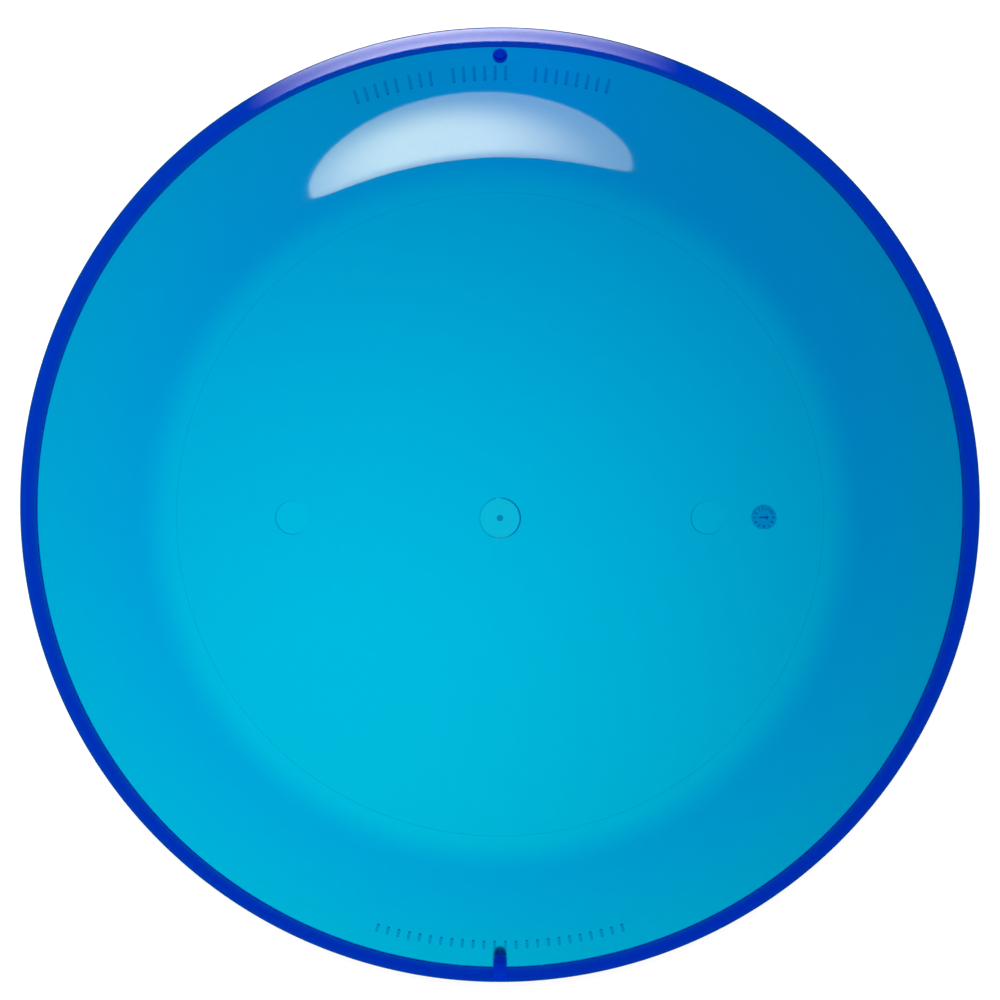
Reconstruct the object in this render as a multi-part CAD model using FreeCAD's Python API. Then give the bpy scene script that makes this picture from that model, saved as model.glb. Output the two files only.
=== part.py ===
import FreeCAD, Part
import math
import os

# A moulded flying disc, in millimetres, lying dome up on its rim.
# +Z is up and the axis of the disc. The origin is the middle of the plane that the rim rests on.
# The real disc is one moulding. Each node here is a region of it, and they meet face to face.

# The whole disc
RADIUS = 117.5
HEIGHT = 19.0
WALL = 1.7

# The top's outline, from the flat plate to the rim's widest ring: three arcs in a row
PLATE_FLAT_RADIUS = 83.5
BEND_RADIUS = 28.0
BEND_DEG = 11.0
SHOULDER_RADIUS = 105.0
RIM_ROUND = 6.5

# The underside's arcs. The bend starts nearer to the axis than the top's, and the shoulder's arc has its
# centre further out, so the wall is 2.2 mm just past the bend and thins to 1.5 mm at the rim.
UNDERSIDE_BEND_RADIUS = 28.0
UNDERSIDE_RADIUS = 102.2
UNDERSIDE_SHIFT = 3.0

# The rim's wall and foot
RIM_INNER_RADIUS = 112.7
INSIDE_FILLET = 1.2
FOOT_OUTER_ROUND = 1.2

# The rim's inner wall leans outwards as it goes down, along an arc, so that a moulded disc comes off its core
# and the lip feels round to the fingers
WALL_TOP_LEAN_DEG = 13.0
WALL_ARC_RADIUS = 60.0

# The round insert of the mould, whose edge is the plate's border
INSERT_RADIUS = 77.9

# The gate: a shallow dish in the middle of the top, with the nub that the gate leaves
GATE_DISH_RADIUS = 5.0
GATE_DISH_FLOOR_RADIUS = 4.9
GATE_DISH_DEPTH = 0.25
NUB_RADIUS = 0.75
NUB_HEIGHT = 0.2

# Two round marks that the ejector pins leave under the plate
EJECTOR_MARK_RADIUS = 4.0
EJECTOR_MARK_X = 50.0
EJECTOR_MARK_DEPTH = 0.12

# The dial under the plate: a pad with twelve pips round a pointer
DIAL_X = 63.6
DIAL_RADIUS = 3.0
DIAL_PAD = 0.7
DIAL_RELIEF = 0.3
DIAL_PIPS = 12
PIP_RADIUS = 0.22
PIP_RING_RADIUS = 2.35
POINTER_LENGTH = 2.6
POINTER_WIDTH = 1.1

# The stacking pin at +Y and the stacking lug at -Y stop short of the resting plane
PIN_Y = 110.3
PIN_RADIUS = 1.7
PIN_CLEARANCE = 3.0
LUG_WIDTH = 3.2
LUG_INNER_RADIUS = 109.0
LUG_CLEARANCE = 0.6

# Two rows of plain raised bars under the shoulder, centred on this radius
BAR_RING_RADIUS = 106.2
BAR_RELIEF = 0.4
BAR_WIDTH = 0.7
TOP_BAR_LENGTH = 3.6
TOP_BAR_PITCH_DEG = 1.35
TOP_BAR_GROUPS = ((102.8, 5), (98.3, 3), (88.6, 6), (75.3, 8))
BOTTOM_BAR_LENGTH = 2.2
BOTTOM_BAR_PITCH_DEG = 1.43
BOTTOM_BARS = 24

UP = FreeCAD.Vector(0, 0, 1)
ABOVE_TOP = HEIGHT + 1.0


def point(radius, height):
    """A point of a half outline, in the XZ plane."""
    return FreeCAD.Vector(radius, 0, height)


def along_arc(start, radius, from_deg, to_deg):
    """Where an arc that curves down from start ends: its slope goes from from_deg to to_deg."""
    a = math.radians(from_deg)
    b = math.radians(to_deg)
    outwards = radius * (math.sin(b) - math.sin(a))
    down = radius * (math.cos(a) - math.cos(b))
    return start + FreeCAD.Vector(outwards, 0, -down)


def falling_arc(start, radius, from_deg, to_deg):
    """The edge of such an arc, and its end."""
    middle = along_arc(start, radius, from_deg, (from_deg + to_deg) / 2)
    end = along_arc(start, radius, from_deg, to_deg)
    return Part.Arc(start, middle, end).toShape(), end


def line(start, end):
    return Part.LineSegment(start, end).toShape()


def quarter_round(start, end, centre):
    """The edge of a round from start to end about centre."""
    radius = start.sub(centre).Length
    towards = start.add(end).multiply(0.5).sub(centre)
    towards.normalize()
    middle = centre.add(towards.multiply(radius))
    return Part.Arc(start, middle, end).toShape()


def revolve(edges):
    """The solid of a closed half outline turned about the disc's axis."""
    outline = Part.Wire(Part.__sortEdges__(edges))
    return Part.Face(outline).revolve(FreeCAD.Vector(0, 0, 0), UP, 360)


def inner_wall(top):
    """The edge of the inner wall from its top down to the resting plane, and its lower end."""
    lean = math.radians(WALL_TOP_LEAN_DEG)
    foot_lean = math.asin(math.sin(lean) + top.z / WALL_ARC_RADIUS)
    middle, foot = [
        point(
            top.x + WALL_ARC_RADIUS * (math.cos(lean) - math.cos(lower)),
            top.z - WALL_ARC_RADIUS * (math.sin(lower) - math.sin(lean)),
        )
        for lower in ((lean + foot_lean) / 2, foot_lean)
    ]
    return Part.Arc(top, middle, foot).toShape(), foot


def shoulder_end_deg():
    """The slope at which the shoulder's arc hands over to the rim's, so that the rim ends at RADIUS."""
    bend_sine = math.sin(math.radians(BEND_DEG))
    reach = RADIUS - PLATE_FLAT_RADIUS - RIM_ROUND + (SHOULDER_RADIUS - BEND_RADIUS) * bend_sine
    return math.degrees(math.asin(reach / (SHOULDER_RADIUS - RIM_ROUND)))


def bend_end():
    """Where the bend's arc hands over to the shoulder's, on the top."""
    return along_arc(point(PLATE_FLAT_RADIUS, HEIGHT), BEND_RADIUS, 0, BEND_DEG)


def shoulder_centre():
    """The centre of the shoulder's arc, on the top."""
    bend = math.radians(BEND_DEG)
    inwards = FreeCAD.Vector(math.sin(bend), 0, math.cos(bend)).multiply(SHOULDER_RADIUS)
    return bend_end().sub(inwards)


def underside_centre():
    """The centre of the shoulder's arc, on the underside."""
    return shoulder_centre().add(FreeCAD.Vector(UNDERSIDE_SHIFT, 0, 0))


def slope_at(radius, centre, arc_radius):
    """The slope, in degrees, of an arc about this centre at this distance from the axis."""
    return math.degrees(math.asin((radius - centre.x) / arc_radius))


def under_arc(from_radius, to_radius, depth):
    """The edge that runs this far below the shoulder's underside, and its two ends."""
    centre = underside_centre()
    arc_radius = UNDERSIDE_RADIUS - depth
    apex = centre.add(FreeCAD.Vector(0, 0, arc_radius))
    from_deg = slope_at(from_radius, centre, arc_radius)
    to_deg = slope_at(to_radius, centre, arc_radius)
    start = along_arc(apex, arc_radius, 0, from_deg)
    edge, end = falling_arc(start, arc_radius, from_deg, to_deg)
    return edge, start, end


def underside_bend():
    """Where the underside's bend starts, and the slope at which it meets the shoulder's underside."""
    centre = underside_centre()
    rise = HEIGHT - WALL - UNDERSIDE_BEND_RADIUS - centre.z
    run = math.sqrt((UNDERSIDE_RADIUS - UNDERSIDE_BEND_RADIUS) ** 2 - rise**2)
    return point(centre.x + run, HEIGHT - WALL), math.degrees(math.atan2(run, rise))


def inside_fillet():
    """The fillet between the shoulder's underside and the rim's inner wall: start, end and centre."""
    centre_radius = RIM_INNER_RADIUS - INSIDE_FILLET
    arc_centre = underside_centre()
    to_centre = UNDERSIDE_RADIUS - INSIDE_FILLET
    rise = math.sqrt(to_centre**2 - (centre_radius - arc_centre.x) ** 2)
    centre = point(centre_radius, arc_centre.z + rise)
    outwards = centre.sub(arc_centre)
    outwards.normalize()
    start = arc_centre.add(outwards.multiply(UNDERSIDE_RADIUS))
    end = point(RIM_INNER_RADIUS, centre.z)
    return start, end, centre


def flight_plate():
    """The flat plate inside the mould's insert, with the gate's dish sunk in its top."""
    floor = HEIGHT - GATE_DISH_DEPTH
    corners = [
        point(0, HEIGHT - WALL),
        point(INSERT_RADIUS, HEIGHT - WALL),
        point(INSERT_RADIUS, HEIGHT),
        point(GATE_DISH_RADIUS, HEIGHT),
        point(GATE_DISH_FLOOR_RADIUS, floor),
        point(0, floor),
    ]
    plate = revolve([line(a, b) for a, b in zip(corners, corners[1:] + corners[:1])])
    for side in (-1, 1):
        corner = FreeCAD.Vector(side * EJECTOR_MARK_X, 0, HEIGHT - WALL)
        plate = plate.cut(Part.makeCylinder(EJECTOR_MARK_RADIUS, EJECTOR_MARK_DEPTH, corner))
    return plate


def gate_nub():
    foot = FreeCAD.Vector(0, 0, HEIGHT - GATE_DISH_DEPTH)
    return Part.makeCone(NUB_RADIUS, NUB_RADIUS * 0.8, NUB_HEIGHT, foot)


def shoulder():
    """The band that bends down from the plate to the rim."""
    top_bend, bend_stop = falling_arc(point(PLATE_FLAT_RADIUS, HEIGHT), BEND_RADIUS, 0, BEND_DEG)
    top_stop_deg = slope_at(RIM_INNER_RADIUS, shoulder_centre(), SHOULDER_RADIUS)
    top_fall, top_stop = falling_arc(bend_stop, SHOULDER_RADIUS, BEND_DEG, top_stop_deg)
    under_start, meet_deg = underside_bend()
    under_bend, under_bend_stop = falling_arc(under_start, UNDERSIDE_BEND_RADIUS, 0, meet_deg)
    fillet_start, fillet_end, fillet_centre = inside_fillet()
    fillet_deg = slope_at(fillet_start.x, underside_centre(), UNDERSIDE_RADIUS)
    under_fall, _ = falling_arc(under_bend_stop, UNDERSIDE_RADIUS, meet_deg, fillet_deg)
    edges = [
        line(point(INSERT_RADIUS, HEIGHT), point(PLATE_FLAT_RADIUS, HEIGHT)),
        top_bend,
        top_fall,
        line(top_stop, fillet_end),
        quarter_round(fillet_start, fillet_end, fillet_centre),
        under_fall,
        under_bend,
        line(under_start, point(INSERT_RADIUS, HEIGHT - WALL)),
        line(point(INSERT_RADIUS, HEIGHT - WALL), point(INSERT_RADIUS, HEIGHT)),
    ]
    return revolve(edges)


def rim():
    """The turned-down edge: a rounded outside, a narrow flat foot to rest on and a leaning inner wall."""
    start_deg = slope_at(RIM_INNER_RADIUS, shoulder_centre(), SHOULDER_RADIUS)
    end_deg = shoulder_end_deg()
    top_start = along_arc(bend_end(), SHOULDER_RADIUS, BEND_DEG, start_deg)
    last_fall, fall_stop = falling_arc(top_start, SHOULDER_RADIUS, start_deg, end_deg)
    round_over, widest = falling_arc(fall_stop, RIM_ROUND, end_deg, 90)
    _, wall_top, _ = inside_fillet()
    wall, land_inner = inner_wall(wall_top)
    foot_top = point(RADIUS, FOOT_OUTER_ROUND)
    land_outer = point(RADIUS - FOOT_OUTER_ROUND, 0)
    edges = [
        last_fall,
        round_over,
        line(widest, foot_top),
        quarter_round(foot_top, land_outer, point(land_outer.x, FOOT_OUTER_ROUND)),
        line(land_outer, land_inner),
        wall,
        line(wall_top, top_start),
    ]
    return revolve(edges)


def below(shape):
    """The lowest solid of a shape that a cut has split in two."""
    return min(shape.Solids, key=lambda solid: solid.CenterOfMass.z)


def stacking_pin(shoulder_solid):
    foot = FreeCAD.Vector(0, PIN_Y, PIN_CLEARANCE)
    column = Part.makeCylinder(PIN_RADIUS, HEIGHT - PIN_CLEARANCE, foot)
    return below(column.cut(shoulder_solid))


def stacking_lug(shoulder_solid, rim_solid):
    """A rib with a round inner end that runs out into the rim's inner wall."""
    half = LUG_WIDTH / 2
    tall = HEIGHT - LUG_CLEARANCE
    round_y = -(LUG_INNER_RADIUS + half)
    nose = Part.makeCylinder(half, tall, FreeCAD.Vector(0, round_y, LUG_CLEARANCE))
    run = RADIUS - FOOT_OUTER_ROUND + round_y
    corner = FreeCAD.Vector(-half, round_y - run, LUG_CLEARANCE)
    rib = Part.makeBox(LUG_WIDTH, run, tall, corner)
    return below(nose.fuse(rib).removeSplitter().cut(shoulder_solid).cut(rim_solid))


def date_dial():
    """A raised pad under the plate, with a ring of pips and a pointer on it that face down."""
    underside = HEIGHT - WALL
    face = underside - DIAL_PAD
    pad = Part.makeCylinder(DIAL_RADIUS, DIAL_PAD, FreeCAD.Vector(DIAL_X, 0, face))
    low = face - DIAL_RELIEF
    for number in range(DIAL_PIPS):
        turn = 2 * math.pi * number / DIAL_PIPS
        x = DIAL_X + PIP_RING_RADIUS * math.cos(turn)
        y = PIP_RING_RADIUS * math.sin(turn)
        pip = Part.makeCylinder(PIP_RADIUS, DIAL_RELIEF, FreeCAD.Vector(x, y, low))
        pad = pad.fuse(pip)
    tip = FreeCAD.Vector(DIAL_X + POINTER_LENGTH / 2, 0, low)
    tail_x = DIAL_X - POINTER_LENGTH / 2
    left = FreeCAD.Vector(tail_x, POINTER_WIDTH / 2, low)
    right = FreeCAD.Vector(tail_x, -POINTER_WIDTH / 2, low)
    arrow = Part.Face(Part.makePolygon([tip, left, right, tip]))
    return pad.fuse(arrow.extrude(UP * DIAL_RELIEF)).removeSplitter()


def relief_band():
    """A thin layer under the shoulder, as thick as the bars stand proud."""
    inner = BAR_RING_RADIUS - TOP_BAR_LENGTH
    outer = BAR_RING_RADIUS + TOP_BAR_LENGTH
    upper, upper_inner, upper_outer = under_arc(inner, outer, 0)
    lower, lower_inner, lower_outer = under_arc(inner, outer, BAR_RELIEF)
    return revolve([upper, lower, line(upper_inner, lower_inner), line(upper_outer, lower_outer)])


def bars(angles_deg, length, band):
    """Plain raised bars along the radius at these angles."""
    solids = []
    for angle in angles_deg:
        corner = FreeCAD.Vector(BAR_RING_RADIUS - length / 2, -BAR_WIDTH / 2, 0)
        column = Part.makeBox(length, BAR_WIDTH, ABOVE_TOP, corner)
        column.rotate(FreeCAD.Vector(0, 0, 0), UP, angle)
        solids.extend(column.common(band).Solids)
    return Part.makeCompound(solids)


def top_bar_angles():
    return [
        start + TOP_BAR_PITCH_DEG * (step + 0.5)
        for start, count in TOP_BAR_GROUPS
        for step in range(count)
    ]


def bottom_bar_angles():
    first = -90 - BOTTOM_BAR_PITCH_DEG * (BOTTOM_BARS - 1) / 2
    return [first + BOTTOM_BAR_PITCH_DEG * step for step in range(BOTTOM_BARS)]


def build():
    shoulder_solid = shoulder()
    rim_solid = rim()
    band = relief_band()
    return {
        "flight_plate": flight_plate(),
        "shoulder": shoulder_solid,
        "rim": rim_solid,
        "stacking_pin": stacking_pin(shoulder_solid),
        "stacking_lug": stacking_lug(shoulder_solid, rim_solid),
        "gate_nub": gate_nub(),
        "date_dial": date_dial(),
        "upper_index_bars": bars(top_bar_angles(), TOP_BAR_LENGTH, band),
        "lower_index_bars": bars(bottom_bar_angles(), BOTTOM_BAR_LENGTH, band),
    }


os.makedirs("parts", exist_ok=True)
for node, shape in build().items():
    shape.exportStep("parts/" + node + ".step")
    box = shape.BoundBox
    print(node, "solids", len(shape.Solids), "volume", round(shape.Volume, 2), "valid", shape.isValid())
    print("    z", round(box.ZMin, 3), round(box.ZMax, 3), "x", round(box.XMin, 3), round(box.XMax, 3))
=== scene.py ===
import bpy
import bmesh
import math
from mathutils import Matrix, Vector

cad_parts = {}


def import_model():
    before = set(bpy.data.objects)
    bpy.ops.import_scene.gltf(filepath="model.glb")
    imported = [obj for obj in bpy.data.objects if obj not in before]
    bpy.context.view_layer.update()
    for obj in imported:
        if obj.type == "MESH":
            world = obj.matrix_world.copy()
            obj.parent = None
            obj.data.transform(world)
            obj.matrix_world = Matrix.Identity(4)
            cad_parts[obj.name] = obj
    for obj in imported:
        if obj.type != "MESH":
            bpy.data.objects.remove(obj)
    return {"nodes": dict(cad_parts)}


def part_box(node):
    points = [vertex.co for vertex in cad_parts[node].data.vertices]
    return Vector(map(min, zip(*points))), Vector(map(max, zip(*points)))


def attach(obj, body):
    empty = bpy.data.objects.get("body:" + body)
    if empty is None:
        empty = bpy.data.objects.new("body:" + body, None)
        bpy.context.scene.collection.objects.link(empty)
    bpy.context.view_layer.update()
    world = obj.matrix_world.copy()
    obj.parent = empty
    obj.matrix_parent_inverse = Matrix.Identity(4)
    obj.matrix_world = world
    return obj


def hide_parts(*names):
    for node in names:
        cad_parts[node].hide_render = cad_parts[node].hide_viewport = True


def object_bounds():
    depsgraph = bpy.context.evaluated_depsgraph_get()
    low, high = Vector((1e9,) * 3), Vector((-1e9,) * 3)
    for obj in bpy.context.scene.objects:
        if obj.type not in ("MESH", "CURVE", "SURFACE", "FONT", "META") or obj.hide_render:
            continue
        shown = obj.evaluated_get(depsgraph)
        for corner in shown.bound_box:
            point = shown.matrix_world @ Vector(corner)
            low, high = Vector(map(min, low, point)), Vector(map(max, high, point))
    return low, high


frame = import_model()
cad_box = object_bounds()

MM = 0.001

# The disc's outline, as in the CAD model
RADIUS = (cad_box[1].x - cad_box[0].x) / 2
HEIGHT = cad_box[1].z
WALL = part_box("flight_plate")[1].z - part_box("flight_plate")[0].z
INSERT_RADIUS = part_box("flight_plate")[1].x
PLATE_FLAT_RADIUS = 83.5 * MM
BEND_RADIUS = 28.0 * MM
UNDERSIDE_RADIUS = 102.2 * MM
UNDERSIDE_SHIFT = 3.0 * MM
UNDERSIDE_BEND_RADIUS = 28.0 * MM
BEND_DEG = 11.0
SHOULDER_RADIUS = 105.0 * MM
RIM_ROUND = 6.5 * MM
RIM_INNER_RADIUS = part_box("shoulder")[1].x
INSIDE_FILLET = 1.2 * MM
WALL_TOP_LEAN_DEG = 13.0
WALL_ARC_RADIUS = 60.0 * MM
FOOT_OUTER_ROUND = 1.2 * MM
GATE_DISH_RADIUS = 5.04 * MM
GATE_DISH_FLOOR_RADIUS = 5.0 * MM
GATE_CREASE_WIDTH = 0.3 * MM
GATE_DISH_DEPTH = 0.25 * MM
NUB_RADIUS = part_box("gate_nub")[1].x
NUB_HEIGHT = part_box("gate_nub")[1].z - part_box("gate_nub")[0].z
NUB_TOP_RADIUS = NUB_RADIUS * 0.6
NUB_EDGE = NUB_HEIGHT * 0.4
SEAM_WIDTH = 0.2 * MM
SEAM_DEPTH = 0.06 * MM

# How many steps each curve is drawn in
SEGMENTS = 384
NUB_STEPS = 4
BEND_STEPS = 12
SHOULDER_STEPS = 20
RIM_STEPS = 24
FOOT_STEPS = 12
WALL_STEPS = 10
FILLET_STEPS = 8
BAR_END_STEPS = 5
PIN_STEPS = 40
PIN_EDGE_STEPS = 4
MARK_STEPS = 48

EJECTOR_MARK_X = 50.0 * MM
EJECTOR_MARK_RADIUS = 4.0 * MM
EJECTOR_MARK_DEPTH = 0.12 * MM
EJECTOR_MARK_EDGE = 0.25 * MM

CAMERA_TILT_DEG = 6.3
CAMERA_DISTANCE = 0.770
CAMERA_AIM_Y = 0.0044
CAMERA_LENS = 115.3
CAMERA_SENSOR = 36


# ---------------------------------------------------------------- outline

def along_arc(start, radius, from_deg, to_deg):
    """Where an arc that curves down from start is when its slope has gone from from_deg to to_deg."""
    a = math.radians(from_deg)
    b = math.radians(to_deg)
    outwards = radius * (math.sin(b) - math.sin(a))
    down = radius * (math.cos(a) - math.cos(b))
    return (start[0] + outwards, start[1] - down)


def falling_arc(start, radius, from_deg, to_deg, steps):
    """The points of such an arc, both ends included."""
    turn = (to_deg - from_deg) / steps
    return [along_arc(start, radius, from_deg, from_deg + turn * step) for step in range(steps + 1)]


def round_corner(centre, radius, from_deg, to_deg, steps):
    """Points on a circle about centre; 0 degrees is outwards and 90 is up."""
    points = []
    for step in range(steps + 1):
        turn = math.radians(from_deg + (to_deg - from_deg) * step / steps)
        points.append((centre[0] + radius * math.cos(turn), centre[1] + radius * math.sin(turn)))
    return points


def shoulder_centre():
    """The centre of the shoulder's arc, on the top."""
    end = along_arc((PLATE_FLAT_RADIUS, HEIGHT), BEND_RADIUS, 0, BEND_DEG)
    bend = math.radians(BEND_DEG)
    return (end[0] - SHOULDER_RADIUS * math.sin(bend), end[1] - SHOULDER_RADIUS * math.cos(bend))


def shoulder_end_deg():
    """The slope at which the shoulder's arc hands over to the rim's."""
    bend_sine = math.sin(math.radians(BEND_DEG))
    reach = RADIUS - PLATE_FLAT_RADIUS - RIM_ROUND + (SHOULDER_RADIUS - BEND_RADIUS) * bend_sine
    return math.degrees(math.asin(reach / (SHOULDER_RADIUS - RIM_ROUND)))


def underside_centre():
    """The centre of the shoulder's arc, on the underside."""
    centre = shoulder_centre()
    return (centre[0] + UNDERSIDE_SHIFT, centre[1])


def underside_height(radius):
    """The height of the shoulder's underside at this distance from the axis."""
    centre = underside_centre()
    return centre[1] + math.sqrt(UNDERSIDE_RADIUS**2 - (radius - centre[0]) ** 2)


def underside_slope_deg(radius):
    return math.degrees(math.asin((radius - underside_centre()[0]) / UNDERSIDE_RADIUS))


def seam(radius, height, outwards):
    """The fine line that the edge of the mould's insert leaves: a shallow V."""
    half = SEAM_WIDTH / 2
    return [(radius - half, height), (radius, height + outwards * SEAM_DEPTH), (radius + half, height)]


def top_outline():
    """From the axis out to the rim's widest ring."""
    floor = HEIGHT - GATE_DISH_DEPTH
    nub_top = floor + NUB_HEIGHT
    points = [(0.0, nub_top), (NUB_TOP_RADIUS, nub_top)]
    points += round_corner((NUB_TOP_RADIUS, nub_top - NUB_EDGE), NUB_EDGE, 90, 0, NUB_STEPS)[1:]
    points += [(NUB_RADIUS, floor)]
    points += [(GATE_DISH_FLOOR_RADIUS - GATE_CREASE_WIDTH, floor), (GATE_DISH_FLOOR_RADIUS, floor)]
    points += [(GATE_DISH_RADIUS, HEIGHT)]
    points += falling_arc((PLATE_FLAT_RADIUS, HEIGHT), BEND_RADIUS, 0, BEND_DEG, BEND_STEPS)
    end_deg = shoulder_end_deg()
    points += falling_arc(points[-1], SHOULDER_RADIUS, BEND_DEG, end_deg, SHOULDER_STEPS)[1:]
    points += falling_arc(points[-1], RIM_ROUND, end_deg, 90, RIM_STEPS)[1:]
    return points


def inner_wall(top, steps):
    """From the resting plane up the inner wall, which leans inwards along an arc, to just below its top."""
    lean = math.radians(WALL_TOP_LEAN_DEG)
    foot_lean = math.asin(math.sin(lean) + top[1] / WALL_ARC_RADIUS)
    points = []
    for step in range(steps):
        lower = foot_lean + (lean - foot_lean) * step / steps
        out = WALL_ARC_RADIUS * (math.cos(lean) - math.cos(lower))
        down = WALL_ARC_RADIUS * (math.sin(lower) - math.sin(lean))
        points.append((top[0] + out, top[1] - down))
    return points


def foot_outline():
    """From the rim's outside, under the foot, to the top of the inner wall."""
    outer_x = RADIUS - FOOT_OUTER_ROUND
    points = round_corner((outer_x, FOOT_OUTER_ROUND), FOOT_OUTER_ROUND, 0, -90, FOOT_STEPS)
    centre, _ = fillet_centre()
    return points + inner_wall((RIM_INNER_RADIUS, centre[1]), WALL_STEPS)


def fillet_centre():
    """The centre of the fillet over the inner wall, and the angle at which it meets the underside."""
    arc_centre = underside_centre()
    run = RIM_INNER_RADIUS - INSIDE_FILLET - arc_centre[0]
    rise = math.sqrt((UNDERSIDE_RADIUS - INSIDE_FILLET) ** 2 - run**2)
    return (arc_centre[0] + run, arc_centre[1] + rise), math.degrees(math.atan2(rise, run))


def underside_outline():
    """From the inner wall, up the fillet and in along the underside to the axis."""
    arc_centre = underside_centre()
    reach = UNDERSIDE_RADIUS
    centre, meets = fillet_centre()
    points = round_corner(centre, INSIDE_FILLET, 0, meets, FILLET_STEPS)
    bend_z = HEIGHT - WALL - UNDERSIDE_BEND_RADIUS
    bend_run = math.sqrt((reach - UNDERSIDE_BEND_RADIUS) ** 2 - (bend_z - arc_centre[1]) ** 2)
    bend_centre = (arc_centre[0] + bend_run, bend_z)
    hand_over = math.degrees(math.atan2(bend_z - arc_centre[1], bend_run))
    points += round_corner(arc_centre, reach, meets, hand_over, SHOULDER_STEPS)[1:]
    points += round_corner(bend_centre, UNDERSIDE_BEND_RADIUS, hand_over, 90, BEND_STEPS)[1:]
    points += reversed(seam(INSERT_RADIUS, HEIGHT - WALL, 1))
    points += [(0.0, HEIGHT - WALL)]
    return points


def revolved(name, outline, segments):
    """A closed object from an outline that starts and ends on the axis."""
    mesh = bmesh.new()
    rings = []
    for radius, height in outline[1:-1]:
        ring = []
        for segment in range(segments):
            turn = 2 * math.pi * segment / segments
            ring.append(mesh.verts.new((radius * math.cos(turn), radius * math.sin(turn), height)))
        rings.append(ring)
    top = mesh.verts.new((0, 0, outline[0][1]))
    bottom = mesh.verts.new((0, 0, outline[-1][1]))
    for segment in range(segments):
        after = (segment + 1) % segments
        mesh.faces.new((top, rings[0][segment], rings[0][after]))
        mesh.faces.new((bottom, rings[-1][after], rings[-1][segment]))
        for upper, lower in zip(rings, rings[1:]):
            mesh.faces.new((upper[segment], lower[segment], lower[after], upper[after]))
    return as_object(name, mesh)


def as_object(name, mesh):
    """Turns a bmesh into an object in the scene, with its faces turned outwards."""
    data = bpy.data.meshes.new(name)
    bmesh.ops.recalc_face_normals(mesh, faces=mesh.faces)
    mesh.to_mesh(data)
    mesh.free()
    made = bpy.data.objects.new(name, data)
    bpy.context.scene.collection.objects.link(made)
    return made


outline = top_outline() + foot_outline() + underside_outline()
disc = revolved("disc", outline, SEGMENTS)


# ---------------------------------------------------------------- details of the underside

def prism(mesh, outline2d, matrix, low, high):
    """Adds a closed prism: a flat outline in local X and Y, between two local heights."""
    bottom = [mesh.verts.new(matrix @ Vector((x, y, low))) for x, y in outline2d]
    top = [mesh.verts.new(matrix @ Vector((x, y, high))) for x, y in outline2d]
    mesh.faces.new(list(reversed(bottom)))
    mesh.faces.new(top)
    count = len(outline2d)
    for i in range(count):
        after = (i + 1) % count
        mesh.faces.new((bottom[i], bottom[after], top[after], top[i]))


def stadium(length, width, steps):
    """A bar with round ends, along local X."""
    half = length / 2 - width / 2
    points = []
    for side in (1, -1):
        for step in range(steps + 1):
            turn = math.radians(-90 + 180 * step / steps)
            points.append((side * (half + width / 2 * math.cos(turn)), side * width / 2 * math.sin(turn)))
    return points


def circle(radius, steps):
    turns = [2 * math.pi * step / steps for step in range(steps)]
    return [(radius * math.cos(turn), radius * math.sin(turn)) for turn in turns]


BAR_RING_RADIUS = 106.2 * MM
BAR_RELIEF = 0.4 * MM
BAR_WIDTH = 0.7 * MM
TOP_BAR_LENGTH = 3.6 * MM
TOP_BAR_PITCH_DEG = 1.35
TOP_BAR_GROUPS = ((102.8, 5), (98.3, 3), (88.6, 6), (75.3, 8))
BOTTOM_BAR_LENGTH = 2.2 * MM
BOTTOM_BAR_PITCH_DEG = 1.43
BOTTOM_BARS = 24
ROOT_DEPTH = 0.6 * MM
PIN_EDGE = 0.35 * MM
LUG_END_GAP = 1.6 * MM


def underside_place(radius, angle_deg):
    """A local frame on the shoulder's underside: X runs outwards along it and Z points up into the wall."""
    slope = Matrix.Rotation(math.radians(underside_slope_deg(radius)), 4, "Y")
    spot = Matrix.Translation((radius, 0, underside_height(radius)))
    return Matrix.Rotation(math.radians(angle_deg), 4, "Z") @ spot @ slope


def bars(mesh, angles_deg, length):
    shape = stadium(length, BAR_WIDTH, BAR_END_STEPS)
    for angle in angles_deg:
        prism(mesh, shape, underside_place(BAR_RING_RADIUS, angle), -BAR_RELIEF, ROOT_DEPTH)


def bar_angles():
    """The directions of the bars under the far side of the shoulder and under the near side."""
    top = [
        start + TOP_BAR_PITCH_DEG * (step + 0.5)
        for start, count in TOP_BAR_GROUPS
        for step in range(count)
    ]
    first = -90 - BOTTOM_BAR_PITCH_DEG * (BOTTOM_BARS - 1) / 2
    bottom = [first + BOTTOM_BAR_PITCH_DEG * step for step in range(BOTTOM_BARS)]
    return top, bottom


def pin(mesh):
    """The round pin, with its lower edge rounded off."""
    low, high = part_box("stacking_pin")
    centre = (low + high) / 2
    radius = (high.x - low.x) / 2
    corner = round_corner((radius - PIN_EDGE, low.z + PIN_EDGE), PIN_EDGE, -90, 0, PIN_EDGE_STEPS)
    levels = corner + [(radius, high.z + ROOT_DEPTH / 2)]
    place = Matrix.Translation((centre.x, centre.y, 0))
    stacked_rings(mesh, levels, circle(1.0, PIN_STEPS), place)


def stacked_rings(mesh, levels, shape, matrix):
    """A closed solid: the shape scaled to each level's size, from the lowest level up."""
    rings = []
    for size, height in levels:
        rings.append([mesh.verts.new(matrix @ Vector((x * size, y * size, height))) for x, y in shape])
    mesh.faces.new(list(reversed(rings[0])))
    mesh.faces.new(rings[-1])
    count = len(shape)
    for lower, upper in zip(rings, rings[1:]):
        for i in range(count):
            after = (i + 1) % count
            mesh.faces.new((lower[i], lower[after], upper[after], upper[i]))


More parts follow.
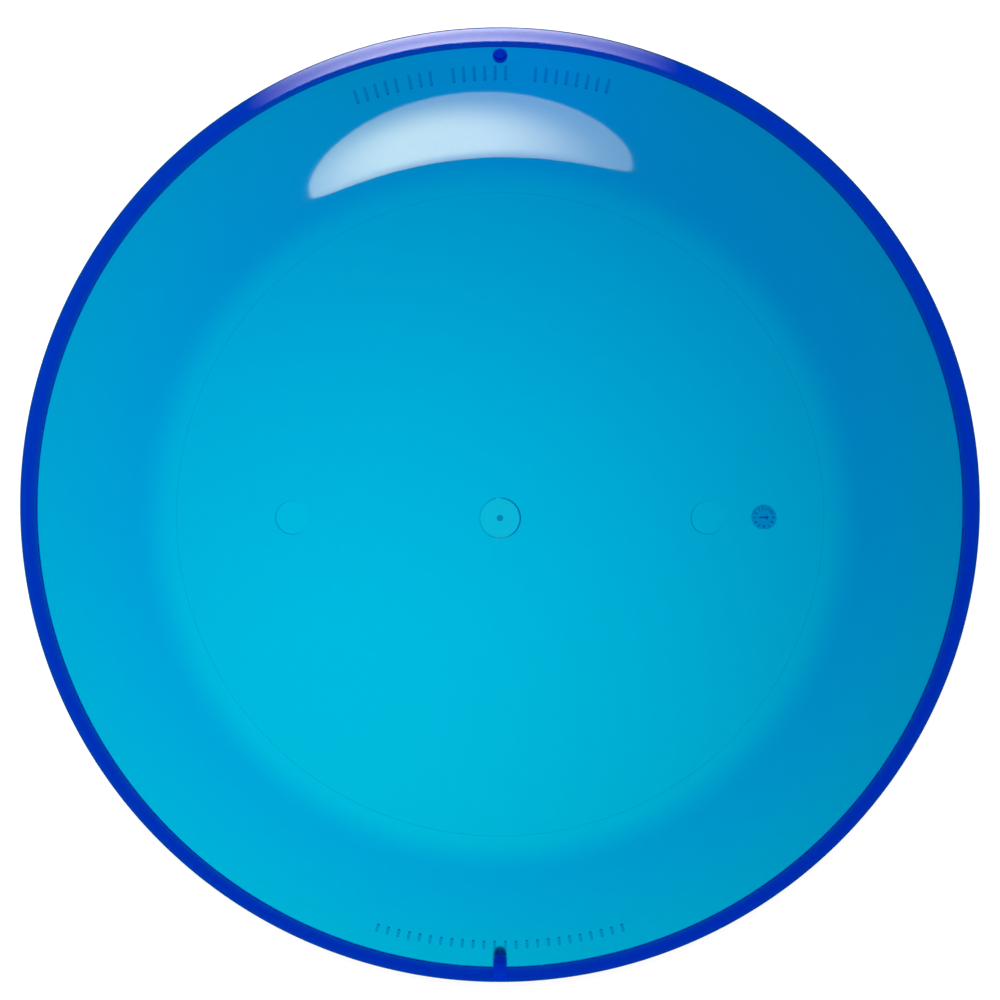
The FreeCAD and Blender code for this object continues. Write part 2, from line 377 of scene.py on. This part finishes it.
def lug(mesh):
    """The rib with a round inner end that runs out into the rim."""
    low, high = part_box("stacking_lug")
    half = (high.x - low.x) / 2
    round_y = high.y - half
    shape = [(half * math.cos(math.radians(a)), round_y + half * math.sin(math.radians(a)))
             for a in range(0, 181, 12)]
    end_y = -(RADIUS - LUG_END_GAP)
    shape += [(-half, end_y), (half, end_y)]
    prism(mesh, shape, Matrix.Identity(4), low.z, underside_height(RIM_INNER_RADIUS) + ROOT_DEPTH)


DIAL_LOW, DIAL_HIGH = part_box("date_dial")
DIAL_CENTRE = (DIAL_LOW + DIAL_HIGH) / 2
DIAL_RADIUS = (DIAL_HIGH.x - DIAL_LOW.x) / 2
DIAL_RELIEF = 0.3 * MM
DIAL_NUMBER_RING = 2.2 * MM
DIAL_NUMBER_SIZE = 1.15 * MM
DIAL_FLAT_DEG = 22
ARROW_TIP = 1.15 * MM
ARROW_WING = 0.6 * MM
ARROW_SHAFT = 0.16 * MM


def dial_pad(mesh):
    """The pad of the dial, cut flat on one side."""
    pad = [
        (DIAL_RADIUS * math.cos(math.radians(a)), DIAL_RADIUS * math.sin(math.radians(a)))
        for a in range(-90 + DIAL_FLAT_DEG, 270 - DIAL_FLAT_DEG + 1, 4)
    ]
    place = Matrix.Translation((DIAL_CENTRE.x, DIAL_CENTRE.y, 0))
    prism(mesh, pad, place, DIAL_LOW.z + DIAL_RELIEF, DIAL_HIGH.z + ROOT_DEPTH)


def evaluated_mesh(made):
    """The object's mesh as it stands with its modifiers, or as its text is drawn."""
    bpy.context.view_layer.update()
    return bpy.data.meshes.new_from_object(made.evaluated_get(bpy.context.evaluated_depsgraph_get()))


def dial_figures(mesh):
    """The arrow and the months 1 to 12 round it, raised on the pad so that they read from below."""
    neck = ARROW_TIP - ARROW_WING
    arrow = [(ARROW_TIP, 0), (neck, ARROW_WING), (neck, ARROW_SHAFT), (-ARROW_TIP, ARROW_SHAFT),
             (-ARROW_TIP, -ARROW_SHAFT), (neck, -ARROW_SHAFT), (neck, -ARROW_WING)]
    place = Matrix.Translation((DIAL_CENTRE.x, DIAL_CENTRE.y, 0))
    prism(mesh, arrow, place, DIAL_LOW.z, DIAL_LOW.z + 1.5 * DIAL_RELIEF)
    for month in range(1, 13):
        text = bpy.data.curves.new("month", "FONT")
        text.body = str(month)
        text.align_x = "CENTER"
        text.align_y = "CENTER"
        text.size = DIAL_NUMBER_SIZE
        text.extrude = DIAL_RELIEF
        text.resolution_u = 3
        holder = bpy.data.objects.new("month", text)
        bpy.context.scene.collection.objects.link(holder)
        figure = evaluated_mesh(holder)
        bpy.data.objects.remove(holder)
        spot = Matrix.Translation((DIAL_CENTRE.x, DIAL_CENTRE.y, DIAL_LOW.z + DIAL_RELIEF))
        turned = Matrix.Rotation(2 * math.pi * month / 12, 4, "Z")
        out = Matrix.Translation((0, DIAL_NUMBER_RING, 0))
        figure.transform(spot @ turned @ out @ Matrix.Rotation(math.pi, 4, "Y"))
        mesh.from_mesh(figure)
    bmesh.ops.remove_doubles(mesh, verts=mesh.verts, dist=1e-8)


def ejector_marks(mesh):
    """Shallow round pockets with a sloped edge."""
    underside = HEIGHT - WALL
    slope = EJECTOR_MARK_EDGE / 2
    levels = [
        (EJECTOR_MARK_RADIUS + slope, underside - 1 * MM),
        (EJECTOR_MARK_RADIUS + slope, underside),
        (EJECTOR_MARK_RADIUS - slope, underside + EJECTOR_MARK_DEPTH),
    ]
    for side in (-1, 1):
        place = Matrix.Translation((side * EJECTOR_MARK_X, 0, 0))
        stacked_rings(mesh, levels, circle(1.0, MARK_STEPS), place)


def combine(target, tool, operation):
    """Joins the tool to the target or cuts it out, and removes the tool."""
    modifier = target.modifiers.new(operation, "BOOLEAN")
    modifier.operation = operation
    modifier.solver = "EXACT"
    modifier.object = tool
    made = evaluated_mesh(target)
    target.modifiers.clear()
    target.data = made
    bpy.data.objects.remove(tool)


SHARP_DEG = 15

top_angles, bottom_angles = bar_angles()
raised = bmesh.new()
bars(raised, top_angles, TOP_BAR_LENGTH)
bars(raised, bottom_angles, BOTTOM_BAR_LENGTH)
pin(raised)
lug(raised)
dial_pad(raised)
combine(disc, as_object("raised", raised), "UNION")
figures = bmesh.new()
dial_figures(figures)
combine(disc, as_object("figures", figures), "UNION")
marks = bmesh.new()
ejector_marks(marks)
combine(disc, as_object("marks", marks), "DIFFERENCE")
for face in disc.data.polygons:
    face.use_smooth = True
disc.data.set_sharp_from_angle(angle=math.radians(SHARP_DEG))


# How matt a face is, where 1 is the underside
MATT_WALL = 5.0
MATT_DISH = 2.0
MATT_LUG = 3.0
MATT_UNDERSIDE = 1.0
MATT_TOP = 0.0

# How strong the painted shade in the creases and on the raised marks is, from 0 to 1
PAINTED_SHADE_NUB = 0.8
PAINTED_SHADE_DISH = 0.05
PAINTED_SHADE_GATE_RING = 0.7
PAINTED_SHADE_GATE_SWING = 0.3
PAINTED_SHADE_GATE_GAP = 0.2
PAINTED_SHADE_MARK_RING = 0.3
PAINTED_SHADE_MARK_SWING = 0.4
PAINTED_SHADE_SEAM = 0.15
PAINTED_SHADE_FIGURES = 1.0
PAINTED_SHADE_PAD = 0.35
PAINTED_SHADE_BAR_SIDE = 0.75
PAINTED_SHADE_BAR_FACE = 0.4

# Where the painted shade on the rings is darkest, and where the gate's ring breaks off
GATE_DARKEST_DEG = 15
GATE_GAP_DEG = 95
GATE_GAP_HALF_DEG = 7
MARK_DARKEST_DEG = 205

# A face counts as steep or as tilted when its normal's Z is smaller than this
STEEP_NORMAL_Z = 0.6
TILTED_NORMAL_Z = 0.98

# The share of the wall's thickness above which a face belongs to the top
WALL_PARTING = 0.6

# How far the lug's faces reach, and how near a face has to be to belong to a detail
LUG_REACH_X = 1.9 * MM
LUG_REACH_Y = -108.8 * MM
WALL_SLACK = 0.2 * MM
DIAL_SLACK = 0.1 * MM
DIAL_ROOT_SLACK = 0.02 * MM
BAR_ROOT_SLACK = 0.05 * MM
BAR_REACH = TOP_BAR_LENGTH * 0.55
NUB_REACH = NUB_RADIUS * 1.05


def facing(x, y, towards_deg):
    """1 where this spot lies in that direction, and -1 where it lies in the opposite one."""
    return math.cos(math.atan2(y, x) - math.radians(towards_deg))


def top_marks(x, y):
    """How matt a face of the top is, and its painted shade."""
    radius = math.hypot(x, y)
    if radius < NUB_REACH:
        return MATT_TOP, PAINTED_SHADE_NUB
    if radius < GATE_DISH_FLOOR_RADIUS - GATE_CREASE_WIDTH:
        return MATT_DISH, PAINTED_SHADE_DISH
    if radius < GATE_DISH_RADIUS:
        if abs(math.degrees(math.atan2(y, x)) - GATE_GAP_DEG) < GATE_GAP_HALF_DEG:
            return MATT_TOP, PAINTED_SHADE_GATE_GAP
        return MATT_TOP, PAINTED_SHADE_GATE_RING + PAINTED_SHADE_GATE_SWING * facing(x, y, GATE_DARKEST_DEG)
    return MATT_TOP, 0.0


def underside_tint(face):
    """The painted shade of a face of the underside."""
    x, y, z = face.center
    radius = math.hypot(x, y)
    tilted = abs(face.normal.z) < TILTED_NORMAL_Z
    from_mark = math.hypot(abs(x) - EJECTOR_MARK_X, y)
    if tilted and abs(from_mark - EJECTOR_MARK_RADIUS) < EJECTOR_MARK_EDGE / 2:
        across = facing(x - math.copysign(EJECTOR_MARK_X, x), y, MARK_DARKEST_DEG)
        return max(0.0, PAINTED_SHADE_MARK_RING + PAINTED_SHADE_MARK_SWING * across)
    if tilted and abs(radius - INSERT_RADIUS) < SEAM_WIDTH / 2:
        return PAINTED_SHADE_SEAM
    from_dial = math.hypot(x - DIAL_CENTRE.x, y)
    if z < DIAL_HIGH.z - DIAL_ROOT_SLACK and from_dial < DIAL_RADIUS + DIAL_SLACK:
        return PAINTED_SHADE_FIGURES if z < DIAL_LOW.z + 0.9 * DIAL_RELIEF else PAINTED_SHADE_PAD
    if abs(radius - BAR_RING_RADIUS) < BAR_REACH and z < underside_height(radius) - BAR_ROOT_SLACK:
        return PAINTED_SHADE_BAR_SIDE if abs(face.normal.z) < STEEP_NORMAL_Z else PAINTED_SHADE_BAR_FACE
    return 0.0


def face_marks(face):
    """How matt a face is, and how strong its painted shade is."""
    x, y, z = face.center
    radius = math.hypot(x, y)
    if radius > RIM_INNER_RADIUS - WALL_SLACK:
        outwards = (face.normal.x * x + face.normal.y * y) / radius
        return (MATT_WALL if outwards < 0 else MATT_TOP), 0.0
    if z > underside_height(max(radius, PLATE_FLAT_RADIUS)) + WALL * WALL_PARTING:
        return top_marks(x, y)
    if abs(x) < LUG_REACH_X and y < LUG_REACH_Y:
        return MATT_LUG, 0.0
    return MATT_UNDERSIDE, underside_tint(face)


def surface_marks(data):
    """Writes both values, how matt a face is and its painted shade, to the mesh, for the material to read."""
    marks = [face_marks(face) for face in data.polygons]
    for name, values in zip(("frost", "painted_shade"), zip(*marks)):
        data.attributes.new(name, "FLOAT", "FACE").data.foreach_set("value", values)


surface_marks(disc.data)


# ---------------------------------------------------------------- material

PLAIN_COLOUR = (0.0, 0.9, 0.85, 1)
# The dark colour that painted shade pulls the plastic's colour towards
PAINTED_SHADE_COLOUR = (0.0, 0.05, 0.25, 1)
TOP_ROUGHNESS = 0.04
UNDERSIDE_ROUGHNESS = 0.15
PLASTIC_IOR = 1.49
ABSORPTION_COLOUR = (0.0, 0.66, 0.97, 1)
ABSORPTION_DENSITY = 1000.0


def plastic():
    """Clear blue plastic, whose colour deepens with its thickness, and which is darkened by painted shade in
    the creases and on the raised marks.
    """
    material = bpy.data.materials.new("translucent_blue_plastic")
    material.use_nodes = True
    nodes = material.node_tree.nodes
    links = material.node_tree.links
    shader = nodes["Principled BSDF"]
    # Painted shade: darkens the colour by the amount the mesh holds for each face
    painted_shade = nodes.new("ShaderNodeAttribute")
    painted_shade.attribute_name = "painted_shade"
    colour = nodes.new("ShaderNodeMix")
    colour.data_type = "RGBA"
    colour.inputs["A"].default_value = PLAIN_COLOUR
    colour.inputs["B"].default_value = PAINTED_SHADE_COLOUR
    links.new(painted_shade.outputs["Fac"], colour.inputs["Factor"])
    links.new(colour.outputs["Result"], shader.inputs["Base Color"])
    frost = nodes.new("ShaderNodeAttribute")
    frost.attribute_name = "frost"
    rough = nodes.new("ShaderNodeMapRange")
    rough.clamp = False
    rough.inputs["To Min"].default_value = TOP_ROUGHNESS
    rough.inputs["To Max"].default_value = UNDERSIDE_ROUGHNESS
    links.new(frost.outputs["Fac"], rough.inputs["Value"])
    links.new(rough.outputs[0], shader.inputs["Roughness"])
    shader.inputs["IOR"].default_value = PLASTIC_IOR
    shader.inputs["Transmission Weight"].default_value = 1.0
    absorb = nodes.new("ShaderNodeVolumeAbsorption")
    absorb.inputs["Color"].default_value = ABSORPTION_COLOUR
    absorb.inputs["Density"].default_value = ABSORPTION_DENSITY
    links.new(absorb.outputs[0], nodes["Material Output"].inputs["Volume"])
    return material


disc.data.materials.clear()
disc.data.materials.append(plastic())
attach(disc, "root")
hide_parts(*frame["nodes"])


# ---------------------------------------------------------------- stage

# The floor glows a little, like a light table; under the disc the glow is a painted pool of light, brightest
# to the lower left of the disc. Green falls off in its own way, and red goes with blue.
GLOW_GREEN = {"centre": (-0.039, -0.048, 0), "reach": 0.250, "middle": 1.02, "edge": 0.21}
GLOW_BLUE = {"centre": (-0.043, -0.030, 0), "reach": 0.320, "middle": 0.92, "edge": 0.175}
GLOW_BEHIND = {"centre": (0.010, 0.120, 0), "reach": 0.050, "middle": 0.16, "edge": 0.0}
GLOW_OPEN = 0.94
GLOW_ENDS = (RADIUS - 1.5 * MM, RADIUS + 0.3 * MM)
FLOOR_RADIUS = 9.0
FLOOR_DROP = 0.3 * MM
FLOOR_GREY = (0.5, 0.5, 0.5, 1)


def emission_material(name, strength):
    material = bpy.data.materials.new(name)
    material.use_nodes = True
    nodes = material.node_tree.nodes
    nodes.clear()
    out = nodes.new("ShaderNodeOutputMaterial")
    glow = nodes.new("ShaderNodeEmission")
    glow.inputs["Strength"].default_value = strength
    material.node_tree.links.new(glow.outputs[0], out.inputs["Surface"])
    return material


def floor():
    """A pale floor, whose glow is a painted pool of light, uneven under the disc, and an even glow beyond it.
    """
    mesh = bmesh.new()
    bmesh.ops.create_circle(mesh, cap_ends=True, segments=96, radius=FLOOR_RADIUS)
    made = as_object("floor", mesh)
    made.location.z = -FLOOR_DROP
    material = bpy.data.materials.new("floor")
    material.use_nodes = True
    nodes = material.node_tree.nodes
    links = material.node_tree.links
    nodes.clear()
    out = nodes.new("ShaderNodeOutputMaterial")
    glow = nodes.new("ShaderNodeEmission")
    place = nodes.new("ShaderNodeTexCoord")

    def blob(centre, reach, middle, edge):
        away = nodes.new("ShaderNodeVectorMath")
        away.operation = "DISTANCE"
        away.inputs[1].default_value = centre
        links.new(place.outputs["Object"], away.inputs[0])
        fade = nodes.new("ShaderNodeMapRange")
        fade.interpolation_type = "SMOOTHSTEP"
        fade.inputs["From Max"].default_value = reach
        fade.inputs["To Min"].default_value = middle
        fade.inputs["To Max"].default_value = edge
        links.new(away.outputs["Value"], fade.inputs["Value"])
        return fade.outputs[0]

    blue = nodes.new("ShaderNodeMath")
    blue.operation = "ADD"
    links.new(blob(**GLOW_BLUE), blue.inputs[0])
    links.new(blob(**GLOW_BEHIND), blue.inputs[1])
    out_from = nodes.new("ShaderNodeVectorMath")
    out_from.operation = "LENGTH"
    links.new(place.outputs["Object"], out_from.inputs[0])
    beyond = nodes.new("ShaderNodeMapRange")
    beyond.interpolation_type = "SMOOTHSTEP"
    beyond.inputs["From Min"].default_value = GLOW_ENDS[0]
    beyond.inputs["From Max"].default_value = GLOW_ENDS[1]
    links.new(out_from.outputs["Value"], beyond.inputs["Value"])
    colour = nodes.new("ShaderNodeCombineColor")
    under = {"Red": blue.outputs[0], "Green": blob(**GLOW_GREEN), "Blue": blue.outputs[0]}
    for channel, source in under.items():
        level = nodes.new("ShaderNodeMix")
        links.new(beyond.outputs[0], level.inputs["Factor"])
        links.new(source, level.inputs["A"])
        level.inputs["B"].default_value = GLOW_OPEN
        links.new(level.outputs["Result"], colour.inputs[channel])
    links.new(colour.outputs[0], glow.inputs["Color"])
    matt = nodes.new("ShaderNodeBsdfDiffuse")
    matt.inputs["Color"].default_value = FLOOR_GREY
    both = nodes.new("ShaderNodeAddShader")
    links.new(glow.outputs[0], both.inputs[0])
    links.new(matt.outputs[0], both.inputs[1])
    links.new(both.outputs[0], out.inputs["Surface"])
    made.data.materials.append(material)
    made.visible_glossy = False


CARD_DISTANCE = 1.2
CARD_MIDDLE_DEG = 98
CARD_REACH_DEG = (32, 27)
CARD_STEPS = 24
CARD_FALLOFF = 1.3
FLAG_TURNS_DEG = range(40, 161, 5)

# How far up or down each edge of the card is seen from the disc, in degrees, and how bright it is there
CARD_LEVELS = ((-55, 2.5), (0, 6.5), (31.5, 13.0))

# The flag's lower and upper edge: distance from the axis, and height
FLAG_PROFILE = ((0.130, 0.0206), (1.15, 0.646))


def curved_strip(mesh, turns_deg, profile):
    """A strip round the disc's axis that has this profile of radius and height at each of the directions."""
    made = []
    for turn_deg in turns_deg:
        x = math.cos(math.radians(turn_deg))
        y = math.sin(math.radians(turn_deg))
        made.append([mesh.verts.new((x * radius, y * radius, height)) for radius, height in profile])
    for left, right in zip(made, made[1:]):
        for i in range(len(profile) - 1):
            mesh.faces.new((left[i], right[i], right[i + 1], left[i + 1]))
    return made


def only_reflected(made):
    """Hides a card from everything but reflections."""
    made.visible_camera = False
    made.visible_diffuse = False
    made.visible_transmission = False
    made.visible_shadow = False


def far_card():
    """A bright curved card beyond the disc, fading out to both sides, that lies in the rim's gloss."""
    mesh = bmesh.new()
    glow = mesh.verts.layers.float.new("glow")
    shares = [step / CARD_STEPS for step in range(-CARD_STEPS, CARD_STEPS + 1)]
    profile = [(CARD_DISTANCE, CARD_DISTANCE * math.tan(math.radians(rise))) for rise, _ in CARD_LEVELS]
    turns = [CARD_MIDDLE_DEG + share * CARD_REACH_DEG[share > 0] for share in shares]
    strip = curved_strip(mesh, turns, profile)
    for share, column in zip(shares, strip):
        for corner, (_, level) in zip(column, CARD_LEVELS):
            corner[glow] = (1 - share * share) ** CARD_FALLOFF * level
    made = as_object("far_card", mesh)
    material = emission_material("far_card", 1.0)
    nodes = material.node_tree.nodes
    brightness = nodes.new("ShaderNodeAttribute")
    brightness.attribute_name = "glow"
    material.node_tree.links.new(brightness.outputs["Fac"], nodes["Emission"].inputs["Strength"])
    material.cycles.emission_sampling = "NONE"
    made.data.materials.append(material)
    only_reflected(made)


def flag():
    """A black sheet that rises from just behind the rim and hides the far card from all but the rim."""
    mesh = bmesh.new()
    curved_strip(mesh, FLAG_TURNS_DEG, FLAG_PROFILE)
    made = as_object("flag", mesh)
    made.data.materials.append(emission_material("flag", 0.0))
    only_reflected(made)


# The lamp lies on a line that starts on the shoulder and leans this far to the left and away per unit of rise
SOFTBOX_FOOT_Y = 0.095
SOFTBOX_LEAN = (-0.06, 0.49)
SOFTBOX_RISE = 1.1
SOFTBOX_PLACE = (
    SOFTBOX_LEAN[0] * SOFTBOX_RISE,
    SOFTBOX_FOOT_Y + SOFTBOX_LEAN[1] * SOFTBOX_RISE,
    HEIGHT + SOFTBOX_RISE,
)
SOFTBOX_RADIUS = 0.30 * SOFTBOX_RISE
SOFTBOX_MIDDLE = 13.5
SOFTBOX_EDGE = 4.0
SOFTBOX_COLOUR = (1.0, 1.0, 0.68, 1)
SOFTBOX_BRIGHTEST = (-0.06, -0.05, 0)
SOFTBOX_FADE = (0.08, SOFTBOX_RADIUS * 1.1)


def softbox():
    """A round lamp overhead, brightest in the middle, which lies in the shoulder's gloss as a crescent."""
    mesh = bmesh.new()
    bmesh.ops.create_circle(mesh, cap_ends=True, segments=64, radius=SOFTBOX_RADIUS)
    made = as_object("softbox", mesh)
    made.location = SOFTBOX_PLACE
    material = emission_material("softbox", 1.0)
    nodes = material.node_tree.nodes
    nodes["Emission"].inputs["Color"].default_value = SOFTBOX_COLOUR
    links = material.node_tree.links
    place = nodes.new("ShaderNodeTexCoord")
    away = nodes.new("ShaderNodeVectorMath")
    away.operation = "DISTANCE"
    away.inputs[1].default_value = SOFTBOX_BRIGHTEST
    links.new(place.outputs["Object"], away.inputs[0])
    fade = nodes.new("ShaderNodeMapRange")
    fade.interpolation_type = "SMOOTHSTEP"
    fade.inputs["From Min"].default_value = SOFTBOX_FADE[0]
    fade.inputs["From Max"].default_value = SOFTBOX_FADE[1]
    fade.inputs["To Min"].default_value = SOFTBOX_MIDDLE
    fade.inputs["To Max"].default_value = SOFTBOX_EDGE
    links.new(away.outputs["Value"], fade.inputs["Value"])
    links.new(fade.outputs[0], nodes["Emission"].inputs["Strength"])
    made.data.materials.append(material)
    made.visible_camera = False
    made.visible_transmission = False


BACKDROP_PALE = (0.95, 0.95, 0.95, 1)
BACKDROP_BLACK = (0.0, 0.0, 0.0, 1)
BACKDROP_FADE_ENDS = 0.5


def world():
    """A backdrop that is pale at the horizon and below, and fades to black upwards."""
    made = bpy.data.worlds.new("studio")
    bpy.context.scene.world = made
    made.use_nodes = True
    nodes = made.node_tree.nodes
    links = made.node_tree.links
    back = nodes["Background"]
    place = nodes.new("ShaderNodeTexCoord")
    split = nodes.new("ShaderNodeSeparateXYZ")
    ramp = nodes.new("ShaderNodeValToRGB")
    links.new(place.outputs["Generated"], split.inputs[0])
    links.new(split.outputs["Z"], ramp.inputs[0])
    pale, black = ramp.color_ramp.elements
    pale.position = 0.0
    pale.color = BACKDROP_PALE
    black.position = BACKDROP_FADE_ENDS
    black.color = BACKDROP_BLACK
    links.new(ramp.outputs[0], back.inputs["Color"])
    made.cycles_visibility.glossy = False


def camera():
    """A camera nearly overhead, a little beyond the disc's middle."""
    data = bpy.data.cameras.new("camera")
    data.lens = CAMERA_LENS
    data.sensor_width = CAMERA_SENSOR
    made = bpy.data.objects.new("camera", data)
    tilt = math.radians(CAMERA_TILT_DEG)
    made.location = (0, CAMERA_DISTANCE * math.sin(tilt), HEIGHT + CAMERA_DISTANCE * math.cos(tilt))
    made.rotation_euler = (-math.atan2(made.location.y - CAMERA_AIM_Y, made.location.z - HEIGHT), 0, 0)
    bpy.context.scene.collection.objects.link(made)
    bpy.context.scene.camera = made


floor()
world()
softbox()
far_card()
flag()
camera()

bpy.context.scene.view_settings.view_transform = "Standard"
